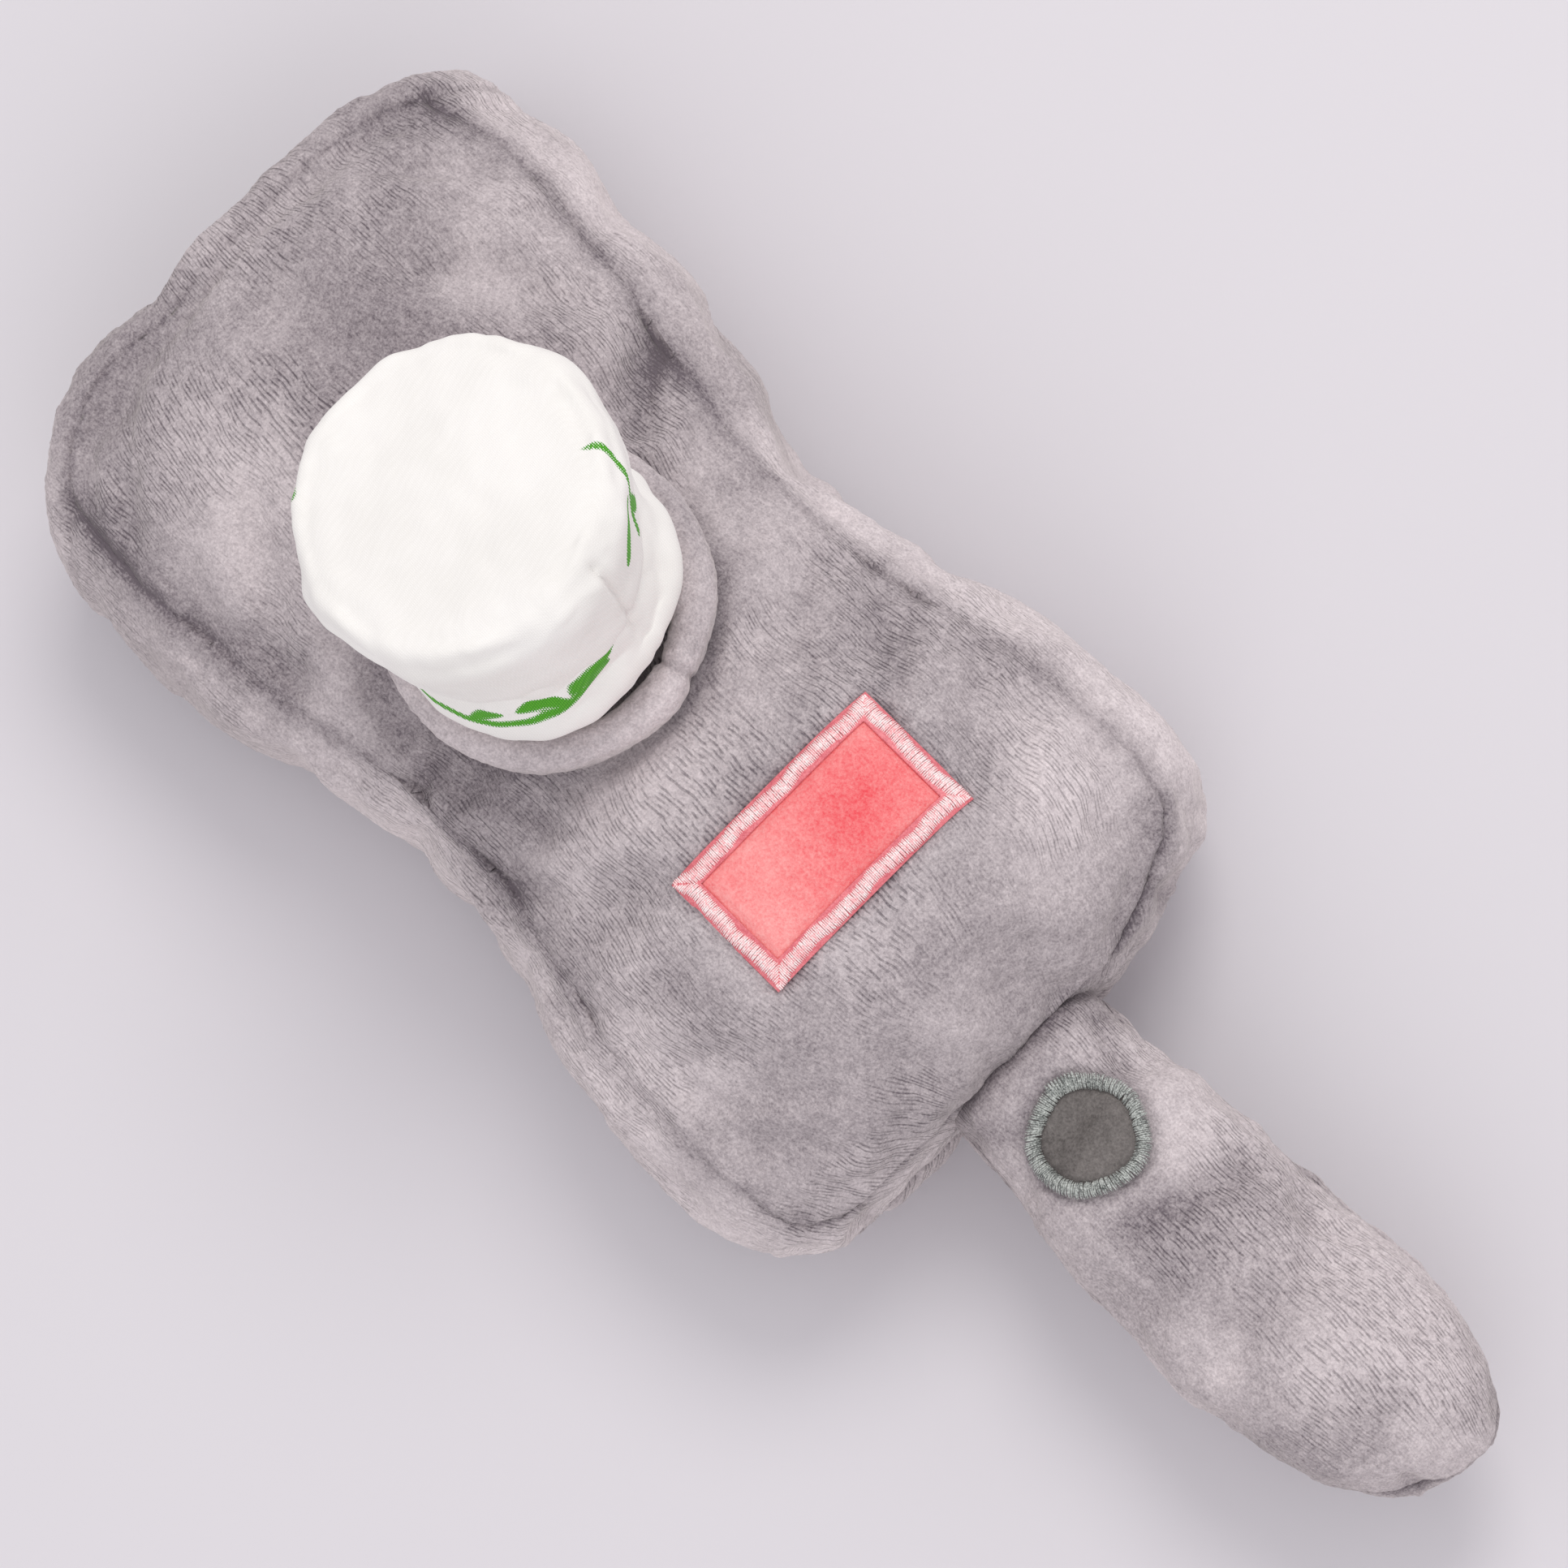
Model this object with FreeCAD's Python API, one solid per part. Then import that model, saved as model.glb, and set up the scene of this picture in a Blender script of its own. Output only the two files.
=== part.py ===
import FreeCAD
import Part
import math
import os

# Novelty plush driver head cover: a padded, lined pocket of short-pile fabric with a gusset all round,
# a stuffed handle sewn to its closed end, and a stuffed cup that stands in a soft collar on its front.
#
# Millimetres. +X runs from the open mouth to the handle's tip, +Y is to the right as seen from the
# handle, and +Z is up from the back panel, on which the cover lies. The origin is the bottom centre of
# the bounding box.

Vector = FreeCAD.Vector

# Overall
overall_length = 366.0
half_length = overall_length / 2
end_face_x = 60.0  # the flat middle of the closed end, where the handle is sewn on
seam_height = 33.0  # half the body's depth, where the two halves of the lining meet

# Body: stations along X as (x, sideways shift, half width, lowest z, highest z)
lobe_half_width = 69.0
waist_half_width = 58.0
body_depth = 66.0
end_bend_x = 32.0  # beyond this the skin turns in to the end face
corner_cut = 8.0  # the end face sits this far towards -Y, so the +Y corner is cut back
body_stations = [
    (-192.0, 0.0, 61.5, 6.0, 52.0),
    (-178.0, 0.0, 64.5, 2.5, 57.0),
    (-162.0, 0.0, 66.5, -0.5, 62.0),
    (-138.0, 0.0, 68.5, -1.5, 65.0),
    (-100.0, 0.0, 64.8, -1.5, body_depth),
    (-54.0, 0.0, waist_half_width, -1.5, body_depth),
    (-10.0, 0.0, 65.0, -1.5, body_depth),
    (32.0, 0.0, lobe_half_width, -1.5, 65.0),
    (45.0, -0.3, 66.5, 0.5, 61.0),
    (53.0, -3.0, 59.5, 6.0, 55.5),
    (end_face_x, -corner_cut, 46.0, 14.0, 47.0),
]
top_roundness = 2.6  # exponents of each section's upper and lower half: 2 is an ellipse, more is squarer
base_roundness = 3.6
section_points = 24

# Layers, from the outside in
fabric_thickness = 2.5
padding_thickness = 4.0
lining_thickness = 1.0
wall_thickness = fabric_thickness + padding_thickness + lining_thickness

# Mouth: the open end is nearly straight with rounded-off corners, x growing with the fourth power
# of the distance from its middle, and is turned in as a hem round an elastic
mouth_middle_y = 5.0
mouth_half_width = 61.0
mouth_corner_depth = 13.6  # how far the line has run back at its half width
mouth_reach = 78.0  # how far each way the line is drawn, past the body's sides
hem_width = 8.0
elastic_thickness = 1.6
elastic_margin = 1.5

# Seams between the front panel, the gusset and the back panel, as (x, z) along the body
front_seam = [(-200, 42), (-165, 51), (-120, 54), (-50, 54.5), (20, 54), (42, 50), (54, 43), (70, 36)]
back_seam = [(-200, 22), (-165, 14), (-120, 11), (-50, 10.5), (20, 11), (42, 15), (54, 20), (70, 25)]
end_gusset_half_width = 44.0
end_gusset_start_x = 36.0

# Patch on the front: a short-pile rectangle with an embroidered border
patch_centre = (5.0, 3.0)
patch_length_x = 30.0
patch_length_y = 54.0
border_width = 3.8
patch_thickness = 1.2
border_thickness = 1.8

# Cup and its collar
cup_centre = (-68.5, -1.8)
cup_base_z = 66.3
cup_base_thickness = 1.3
cup_base_radius = 23.0
cup_hinge_z = 78.8  # the cup nods about this level; its foot is an ellipsoid, so that it clears the base
cup_foot_depth = 10.0
cup_foot_radius = 26.4
cup_height = 48.0  # from the hinge level to the top
cup_lean = 16.0  # degrees, towards the mouth
cup_side_lean = 3.5  # degrees, towards -Y
cup_top_radius = 30.5
cup_fabric = 1.0
collar_outer_radius = 34.0
collar_inner_radius = 27.2
collar_top_z = 77.0
collar_skin = 1.6

# Handle: its rounded root turns about a hinge line across the seam
root_radius = 13.0
root_gap = 0.5
root_narrowing = 2.2
hinge_x = end_face_x + root_gap + root_radius
hinge_z = 31.0
tip_start_x = 150.0
# Stations as (x, sideways bow, half width, half thickness)
handle_stations = [
    (hinge_x, 0.0, 21.4, root_radius),
    (83.0, 0.0, 23.2, 16.0),
    (94.0, 0.0, 24.4, 17.3),
    (112.0, 0.2, 24.8, 17.9),
    (131.0, 1.0, 25.8, 18.0),
    (tip_start_x, 2.2, 25.2, 17.4),
]
tip_bow = 5.3  # how much further the tip bows towards +Y
button_centre = (81.5, -1.5)
button_radius = 9.6
button_border_width = 3.4
button_thickness = 0.9
button_border_thickness = 1.6

far = 300.0  # larger than any part, for cutting tools


def section(x, y_centre, z_centre, half_width, half_low, half_high):
    """A closed spline in the plane X = x, with a fuller lower half."""
    points = []
    for i in range(section_points):
        turn = 2 * math.pi * i / section_points
        across, up = math.cos(turn), math.sin(turn)
        exponent = 2 / (top_roundness if up > 0 else base_roundness)
        half = half_high if up > 0 else half_low
        y = y_centre + half_width * math.copysign(abs(across) ** exponent, across)
        z = z_centre + half * math.copysign(abs(up) ** exponent, up)
        points.append(Vector(x, y, z))
    curve = Part.BSplineCurve()
    curve.interpolate(points, PeriodicFlag=True)
    return Part.Wire(curve.toShape())


def body_volume(inset):
    """The whole body as one solid, inset from its outer skin. It runs out past the mouth."""
    wires = []
    for x, shift, half_width, low, high in body_stations:
        x_here = x - inset * max(0.0, (x - end_bend_x) / (end_face_x - end_bend_x))
        middle, half = (low + high) / 2, (high - low) / 2 - inset
        wires.append(section(x_here, shift, middle, half_width - inset, half, half))
    solid = Part.makeLoft(wires, True, False)
    above_base = Part.makeBox(2 * far, 2 * far, far, Vector(-far, -far, inset))
    return solid.common(above_base)


def upright_cylinder(radius, centre_x, centre_y, low=-far / 2, height=far):
    return Part.makeCylinder(radius, height, Vector(centre_x, centre_y, low))


def mouth_tool(setback):
    """Everything behind the curved mouth line, moved into the body by setback."""
    points = []
    for i in range(17):
        y = mouth_middle_y + mouth_reach * (i / 8 - 1)
        run_back = mouth_corner_depth * (abs(y - mouth_middle_y) / mouth_half_width) ** 4
        points.append(Vector(-half_length + setback + run_back, y, -far / 2))
    line = Part.BSplineCurve()
    line.interpolate(points)
    corner_a, corner_b = Vector(far, points[-1].y, -far / 2), Vector(far, points[0].y, -far / 2)
    edges = [
        line.toShape(),
        Part.makeLine(points[-1], corner_a),
        Part.makeLine(corner_a, corner_b),
        Part.makeLine(corner_b, points[0]),
    ]
    return Part.Face(Part.Wire(edges)).extrude(Vector(0, 0, far))


def zone(seam, limit_z):
    """The region between a seam line, drawn in the XZ plane, and a level far above or below it."""
    points = [Vector(x, -far / 2, z) for x, z in seam]
    line = Part.BSplineCurve()
    line.interpolate(points)
    first, last = points[0], points[-1]
    corner_a, corner_b = Vector(last.x, last.y, limit_z), Vector(first.x, first.y, limit_z)
    edges = [
        line.toShape(),
        Part.makeLine(last, corner_a),
        Part.makeLine(corner_a, corner_b),
        Part.makeLine(corner_b, first),
    ]
    return Part.Face(Part.Wire(edges)).extrude(Vector(0, far, 0))


def end_zone():
    """The region of the end gusset, between the two side gussets."""
    corner = Vector(end_gusset_start_x, -end_gusset_half_width, -far / 2)
    return Part.makeBox(far, 2 * end_gusset_half_width, far, corner)


def half_space(sign):
    """Everything on the right for +1 and on the left for -1."""
    return Part.makeBox(2 * far, far, far, Vector(-far, 0 if sign > 0 else -far, -far / 2))


def rectangle(centre, length_x, length_y):
    """An upright prism over a rectangle."""
    corner = Vector(centre[0] - length_x / 2, centre[1] - length_y / 2, seam_height)
    return Part.makeBox(length_x, length_y, far, corner)


def body_parts():
    """The panels, the padding behind them, the lining, and the hem with its elastic."""
    outer = body_volume(0)
    under_fabric = body_volume(fabric_thickness)
    under_padding = body_volume(fabric_thickness + padding_thickness)
    pocket = body_volume(wall_thickness)
    front, back = zone(front_seam, far / 2), zone(back_seam, -far / 2)
    inside_hem, to_mouth = mouth_tool(hem_width), mouth_tool(0)
    parts = {}
    layers = [
        (outer.cut(under_fabric), "{}_panel", "{}_gusset"),
        (under_fabric.cut(under_padding), "{}_padding", "{}_padding"),
    ]
    for layer, panel_name, strip_name in layers:
        kept = layer.common(inside_hem)
        parts[panel_name.format("front")] = kept.common(front)
        parts[panel_name.format("back")] = kept.common(back)
        strip = kept.cut(front).cut(back)
        sides = strip.cut(end_zone())
        parts[strip_name.format("side") + "_right"] = sides.common(half_space(1))
        parts[strip_name.format("side") + "_left"] = sides.common(half_space(-1))
        parts[strip_name.format("end")] = strip.common(end_zone())
    lining = under_padding.cut(pocket).common(inside_hem)
    upper_half = Part.makeBox(2 * far, 2 * far, far, Vector(-far, -far, seam_height))
    parts["lining_front"] = lining.common(upper_half)
    parts["lining_back"] = lining.cut(upper_half)
    hem = outer.cut(pocket).common(to_mouth).cut(inside_hem)
    elastic_depth = (wall_thickness - elastic_thickness) / 2
    elastic = body_volume(elastic_depth).cut(body_volume(elastic_depth + elastic_thickness))
    elastic = elastic.common(mouth_tool(elastic_margin)).cut(mouth_tool(hem_width - elastic_margin))
    parts["mouth_elastic"] = elastic
    parts["mouth_hem"] = hem.cut(elastic)
    return parts


def patch_parts(outer):
    """The front patch and its raised border, both following the front panel's curve."""
    whole = rectangle(patch_centre, patch_length_x, patch_length_y)
    field = rectangle(patch_centre, patch_length_x - 2 * border_width, patch_length_y - 2 * border_width)
    return {
        "front_patch": body_volume(-patch_thickness).common(field).cut(outer),
        "patch_border": body_volume(-border_thickness).common(whole.cut(field)).cut(outer),
    }


def cup_axis():
    lean, side = math.radians(cup_lean), math.radians(cup_side_lean)
    return Vector(-math.tan(lean), -math.tan(side), 1).normalize()


def cup_volume(inset):
    """The leaning cup as one solid: an ellipsoid foot, level at the hinge, under a tilted wall."""
    corner = 3.0  # the roll at the cup's top edge
    pivot = Vector(cup_centre[0], cup_centre[1], cup_hinge_z)
    radius, depth = cup_foot_radius - inset, cup_foot_depth - inset
    stretch = FreeCAD.Matrix()
    stretch.scale(radius, radius, depth)
    ball = Part.makeSphere(1.0).transformGeometry(stretch)
    foot = ball.common(Part.makeBox(far, far, far, Vector(-far / 2, -far / 2, -far)))
    foot.translate(pivot)
    stations = [
        (0.0, cup_foot_radius),
        (cup_height * 0.3, cup_foot_radius + 1.0),
        (cup_height * 0.65, cup_foot_radius + 1.9),
        (cup_height - corner, cup_top_radius),
        (cup_height - inset, cup_top_radius - corner),
    ]
    axis = cup_axis()
    wires = []
    for along, wide in stations:
        share = min(along / cup_height * 1.6, 1.0)
        tilt = Vector(axis.x * share, axis.y * share, 1).normalize()
        wires.append(Part.Wire(Part.makeCircle(wide - inset, pivot + axis * along, tilt)))
    return Part.makeLoft(wires, True, False).fuse(foot)


def cup_parts(outer):
    """The cup's base, wall, top and stuffing, and the collar with its filler."""
    skin, stuffing = cup_volume(0), cup_volume(cup_fabric)
    shell = skin.cut(stuffing)
    base = upright_cylinder(cup_base_radius, *cup_centre, cup_base_z, cup_base_thickness).cut(outer)
    top_start = Vector(cup_centre[0], cup_centre[1], cup_hinge_z) + cup_axis() * (cup_height - 6.0)
    top_tool = Part.makeCylinder(cup_top_radius - 3.4, 12.0, top_start, cup_axis())
    collar_centre_z = collar_top_z - (collar_outer_radius - collar_inner_radius) / 2
    ring_radius = (collar_outer_radius + collar_inner_radius) / 2
    half_roll = (collar_outer_radius - collar_inner_radius) / 2

    def collar_ring(inset):
        """A ring with a rolled top and straight sides that run down to the front panel."""
        centre = Vector(cup_centre[0], cup_centre[1], collar_centre_z)
        roll = Part.makeTorus(ring_radius, half_roll - inset, centre)
        low = seam_height
        outside = upright_cylinder(collar_outer_radius - inset, *cup_centre, low, collar_centre_z - low)
        inside = upright_cylinder(collar_inner_radius + inset, *cup_centre, low, collar_centre_z - low)
        return roll.fuse(outside.cut(inside)).cut(body_volume(-inset))

    collar, filler = collar_ring(0), collar_ring(collar_skin)
    return {
        "cup_base": base,
        "cup_top": shell.common(top_tool),
        "cup_wall": shell.cut(top_tool),
        "cup_stuffing": stuffing,
        "cup_collar": collar.cut(filler),
        "collar_filler": filler,
    }


def handle_volume(inset):
    """The handle as one solid: a rounded root about the hinge line, a full middle and a domed tip."""
    wires = []
    root = root_radius - inset
    first_half_width = handle_stations[0][2] - inset
    for degrees in (78, 55, 28):
        turn = math.radians(degrees)
        half = root * math.cos(turn)
        narrowed = first_half_width - root_narrowing * math.sin(turn)
        wires.append(section(hinge_x - root * math.sin(turn), 0.0, hinge_z, narrowed, half, half))
    for x, bow, half_width, half in handle_stations:
        wires.append(section(x, bow, hinge_z, half_width - inset, half - inset, half - inset))
    _, last_bow, last_half_width, last_half = handle_stations[-1]
    tip_length = half_length - tip_start_x - inset
    for degrees in (26, 48, 66, 79, 87):
        turn = math.radians(degrees)
        shrink, along = math.cos(turn), math.sin(turn)
        half_width, half = (last_half_width - inset) * shrink, (last_half - inset) * shrink
        bow = last_bow + tip_bow * along**3
        wires.append(section(tip_start_x + tip_length * along, bow, hinge_z, half_width, half, half))
    return Part.makeLoft(wires, True, False)


def handle_parts():
    """The handle's two panels, its stuffing, and the round button with its border."""
    skin, stuffing = handle_volume(0), handle_volume(fabric_thickness)
    upper = Part.makeBox(far, far, far, Vector(0, -far / 2, hinge_z))
    shell = skin.cut(stuffing)
    disc = upright_cylinder(button_radius, *button_centre, hinge_z)
    border = upright_cylinder(button_radius + button_border_width, *button_centre, hinge_z).cut(disc)
    return {
        "handle_top_panel": shell.common(upper),
        "handle_bottom_panel": shell.cut(upper),
        "handle_stuffing": stuffing,
        "button_disc": handle_volume(-button_thickness).common(disc).cut(skin),
        "button_border": handle_volume(-button_border_thickness).common(border).cut(skin),
    }


def main():
    os.makedirs("parts", exist_ok=True)
    outer = body_volume(0)
    parts = body_parts()
    parts.update(patch_parts(outer))
    parts.update(cup_parts(outer))
    parts.update(handle_parts())
    for name, shape in parts.items():
        solids = shape.Solids
        kept = solids[0] if len(solids) == 1 else Part.makeCompound(solids)
        print(f"{name}: {len(solids)} solid, valid {kept.isValid()}, {kept.Volume / 1000:.2f} cm3")
        kept.exportStep(f"parts/{name}.step")


main()
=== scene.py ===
import math
import bpy
import numpy as np
from mathutils import Matrix, Vector
from mathutils.bvhtree import BVHTree


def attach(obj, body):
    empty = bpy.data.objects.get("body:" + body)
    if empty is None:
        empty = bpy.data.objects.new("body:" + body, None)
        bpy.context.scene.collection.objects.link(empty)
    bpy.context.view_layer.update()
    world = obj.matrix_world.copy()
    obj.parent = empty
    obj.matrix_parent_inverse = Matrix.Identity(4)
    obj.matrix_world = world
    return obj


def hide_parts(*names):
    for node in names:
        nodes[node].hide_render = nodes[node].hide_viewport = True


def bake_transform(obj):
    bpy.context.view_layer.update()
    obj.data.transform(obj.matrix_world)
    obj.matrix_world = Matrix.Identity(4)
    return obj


# Plush driver head cover: a padded pocket with a stuffed handle, and a stuffed cup in a soft collar.
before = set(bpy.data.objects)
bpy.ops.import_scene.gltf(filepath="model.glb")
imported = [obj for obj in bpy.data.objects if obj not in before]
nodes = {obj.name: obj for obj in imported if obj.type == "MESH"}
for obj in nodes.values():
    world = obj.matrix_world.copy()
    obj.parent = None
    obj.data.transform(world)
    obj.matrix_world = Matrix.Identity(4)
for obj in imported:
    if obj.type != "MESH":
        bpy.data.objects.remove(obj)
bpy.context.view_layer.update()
millimetre = 0.001


def deselect():
    if bpy.context.mode != "OBJECT":
        bpy.ops.object.mode_set(mode="OBJECT")
    for piece in bpy.context.selected_objects:
        piece.select_set(False)


def pick(piece):
    deselect()
    piece.select_set(True)
    bpy.context.view_layer.objects.active = piece
    return piece


def readPoints(piece):
    flat = np.empty(len(piece.data.vertices) * 3)
    piece.data.vertices.foreach_get("co", flat)
    return flat.reshape(-1, 3) * 1000  # millimetres


def writePoints(piece, points):
    piece.data.vertices.foreach_set("co", (points / 1000).ravel())
    piece.data.update()


def readNormals(piece):
    flat = np.empty(len(piece.data.vertices) * 3)
    piece.data.vertices.foreach_get("normal", flat)
    return flat.reshape(-1, 3)


def centresOf(mesh):
    centres = np.empty(len(mesh.polygons) * 3)
    mesh.polygons.foreach_get("center", centres)
    return centres.reshape(-1, 3) * 1000


def softNoise(points, size, seed):
    # smooth lattice noise from -1 to 1; size is the lump size along each axis
    place = points / np.asarray(size, float) + 211.0
    cell = np.floor(place).astype(np.int64)
    share = place - cell
    share = share * share * (3 - 2 * share)
    total = np.zeros(len(points))
    for i in (0, 1):
        for j in (0, 1):
            for k in (0, 1):
                key = (cell[:, 0] + i) * 374761393 + (cell[:, 1] + j) * 668265263
                key = (key + (cell[:, 2] + k) * 2147483647 + seed * 1274126177) & 0xFFFFFFFF
                key = ((key ^ (key >> 13)) * 1274126177) & 0xFFFFFFFF
                value = ((key ^ (key >> 16)) & 0xFFFF) / 32767.5 - 1
                weight = np.where(i, share[:, 0], 1 - share[:, 0])
                weight = weight * np.where(j, share[:, 1], 1 - share[:, 1])
                weight = weight * np.where(k, share[:, 2], 1 - share[:, 2])
                total += value * weight
    return total


def pileRelief(points, seed):
    # the fine unevenness of brushed pile
    tufts = softNoise(points, (2.4, 1.2, 1.2), seed) * 0.18
    return tufts + softNoise(points, (1.1, 0.9, 0.9), seed + 1) * 0.2


def bell(distance, width):
    # 1 where the distance is 0, falling smoothly to nothing past the width
    return np.exp(-(distance / width) ** 2)


def ramp(value, low, high):
    # 0 below low, 1 above high, smooth between them
    share = np.clip((value - low) / (high - low), 0, 1)
    return share * share * (3 - 2 * share)


def applyModifier(piece, modifier):
    pick(piece)
    bpy.ops.object.modifier_apply(modifier=modifier.name)


def thicken(piece, thickness):
    modifier = piece.modifiers.new("thickness", "SOLIDIFY")
    modifier.thickness = thickness * millimetre
    modifier.offset = -1
    applyModifier(piece, modifier)


def refine(piece, levels):
    modifier = piece.modifiers.new("refine", "SUBSURF")
    modifier.levels = modifier.render_levels = levels
    applyModifier(piece, modifier)


def castSkin(name, nodeNames, voxel):
    # one closed skin around copies of the CAD solids, voxel by voxel
    copies = []
    for nodeName in nodeNames:
        copy = bpy.data.objects.new(name, nodes[nodeName].data.copy())
        bpy.context.scene.collection.objects.link(copy)
        copies.append(copy)
    deselect()
    for copy in copies:
        copy.select_set(True)
    bpy.context.view_layer.objects.active = copies[0]
    bpy.ops.object.join()
    cast = bpy.context.view_layer.objects.active
    cast.name = name
    cast.data.materials.clear()
    bpy.ops.object.mode_set(mode="EDIT")
    bpy.ops.mesh.select_all(action="SELECT")
    bpy.ops.mesh.remove_doubles(threshold=0.00002)  # a CAD node's triangles are loose
    bpy.ops.object.mode_set(mode="OBJECT")
    modifier = cast.modifiers.new("voxels", "REMESH")
    modifier.mode = "VOXEL"
    modifier.voxel_size = voxel * millimetre
    applyModifier(cast, modifier)
    return cast


def puff(piece, settings, held):
    # swells the skin like stuffed cloth; held is 1 where the thread holds it down
    start = readPoints(piece)
    group = piece.vertex_groups.new(name="held")
    for level in range(1, 11):  # the hold is kept in tenths
        which = np.nonzero(np.round(held * 10) == level)[0]
        if len(which):
            group.add(which.tolist(), level / 10, "REPLACE")
    modifier = piece.modifiers.new("puff", "CLOTH")
    cloth = modifier.settings
    cloth.quality = settings["quality"]
    cloth.mass = settings["mass"]
    cloth.tension_stiffness = settings["stretch"]
    cloth.compression_stiffness = settings["stretch"]
    cloth.shear_stiffness = settings["shear"]
    cloth.bending_stiffness = settings["bend"]
    cloth.shrink_min = settings["shrink"]
    cloth.use_pressure = True
    cloth.uniform_pressure_force = settings["pressure"]
    cloth.vertex_group_mass = "held"
    cloth.effector_weights.gravity = 0
    modifier.collision_settings.use_collision = False
    modifier.point_cache.frame_start = 1
    modifier.point_cache.frame_end = settings["frames"]
    scene = bpy.context.scene
    for step in range(1, settings["frames"] + 1):
        scene.frame_set(step)
    applyModifier(piece, modifier)
    scene.frame_set(1)
    moved = readPoints(piece) - start
    length = np.linalg.norm(moved, axis=1)
    cap = settings["cap"]
    moved *= (np.minimum(length, cap) / np.maximum(length, 1e-6))[:, None]
    writePoints(piece, start + moved)
    piece.vertex_groups.clear()
    print("  swelled by", round(float(np.minimum(length, cap).mean()), 2), "mm on average")


def cutAlong(piece, axis, line):
    # cuts edges into the skin where points[axis] equals line(points), by flattening that surface first
    points = readPoints(piece)
    points[:, axis] -= line(points)
    writePoints(piece, points)
    pick(piece)
    bpy.ops.object.mode_set(mode="EDIT")
    bpy.ops.mesh.select_all(action="SELECT")
    normal = [0, 0, 0]
    normal[axis] = 1
    bpy.ops.mesh.bisect(plane_co=(0, 0, 0), plane_no=normal, threshold=0.00001)
    bpy.ops.mesh.select_all(action="DESELECT")
    bpy.ops.object.mode_set(mode="OBJECT")
    points = readPoints(piece)
    points[:, axis] += line(points)  # the line depends on the other axes only
    writePoints(piece, points)


def split(piece, name, test):
    # moves the faces that pass the test into a new piece
    pick(piece)
    chosen = test(piece.data)
    bpy.ops.object.mode_set(mode="EDIT")
    bpy.ops.mesh.select_mode(type="FACE")
    bpy.ops.mesh.select_all(action="DESELECT")
    bpy.ops.object.mode_set(mode="OBJECT")
    piece.data.polygons.foreach_set("select", chosen)
    bpy.ops.object.mode_set(mode="EDIT")
    bpy.ops.mesh.separate(type="SELECTED")
    bpy.ops.object.mode_set(mode="OBJECT")
    part = next(o for o in bpy.context.selected_objects if o != piece)
    part.name = name
    part.data.name = name
    return part


def dress(piece, finish):
    piece.data.polygons.foreach_set("use_smooth", np.ones(len(piece.data.polygons), bool))
    piece.data.update()
    piece.data.materials.clear()
    piece.data.materials.append(finish)


def surfaceOf(piece):
    # a search tree over a copy of the skin as it is now, in millimetres
    points = readPoints(piece)
    triangles = [tuple(p.vertices) for p in piece.data.polygons]
    return BVHTree.FromPolygons([Vector(p) for p in points], triangles)


def layOn(tree, flatPoints, sink=0.0):
    # (x, y, height) to points that height above the skin, found from above
    wellAbove = 200.0
    laid = np.empty_like(flatPoints)
    for i, (x, y, height) in enumerate(flatPoints):
        hit, normal, _, _ = tree.ray_cast(Vector((x, y, wellAbove)), Vector((0, 0, -1)))
        laid[i] = (x, y, 50.0) if hit is None else hit + normal * (height - sink)
    return laid


def keepValues(piece, name, values):
    # a number at every point of a piece, for its finish to read
    layer = piece.data.attributes.new(name, "FLOAT", "POINT")
    layer.data.foreach_set("value", np.asarray(values, np.float32))


def acrossSkin(points, top, halfWidth):
    # metres round the skin from the middle of the top, so that the pile's rows follow the cloth
    flatHalf = 20  # the top is flat this far out from its middle
    side = np.clip(points[:, 1] / flatHalf, -1, 1)
    upper = points[:, 1] + side * (top - points[:, 2])
    lower = np.sign(points[:, 1]) * (2 * halfWidth - np.abs(points[:, 1]) + top - points[:, 2])
    return np.where(points[:, 2] > top / 2, upper, lower) / 1000


def meshPiece(name, points, faces):
    mesh = bpy.data.meshes.new(name)
    mesh.from_pydata((np.asarray(points) / 1000).tolist(), [], faces)
    mesh.update()
    piece = bpy.data.objects.new(name, mesh)
    bpy.context.scene.collection.objects.link(piece)
    return piece


def copyMany(name, pattern, placed):
    # one mesh holding the pattern's faces at every placed set of points
    faces = [tuple(p.vertices) for p in pattern.data.polygons]
    count = len(pattern.data.vertices)
    allFaces = []
    for i in range(len(placed)):
        allFaces.extend(tuple(v + i * count for v in face) for face in faces)
    return meshPiece(name, np.concatenate(placed), allFaces)


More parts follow.
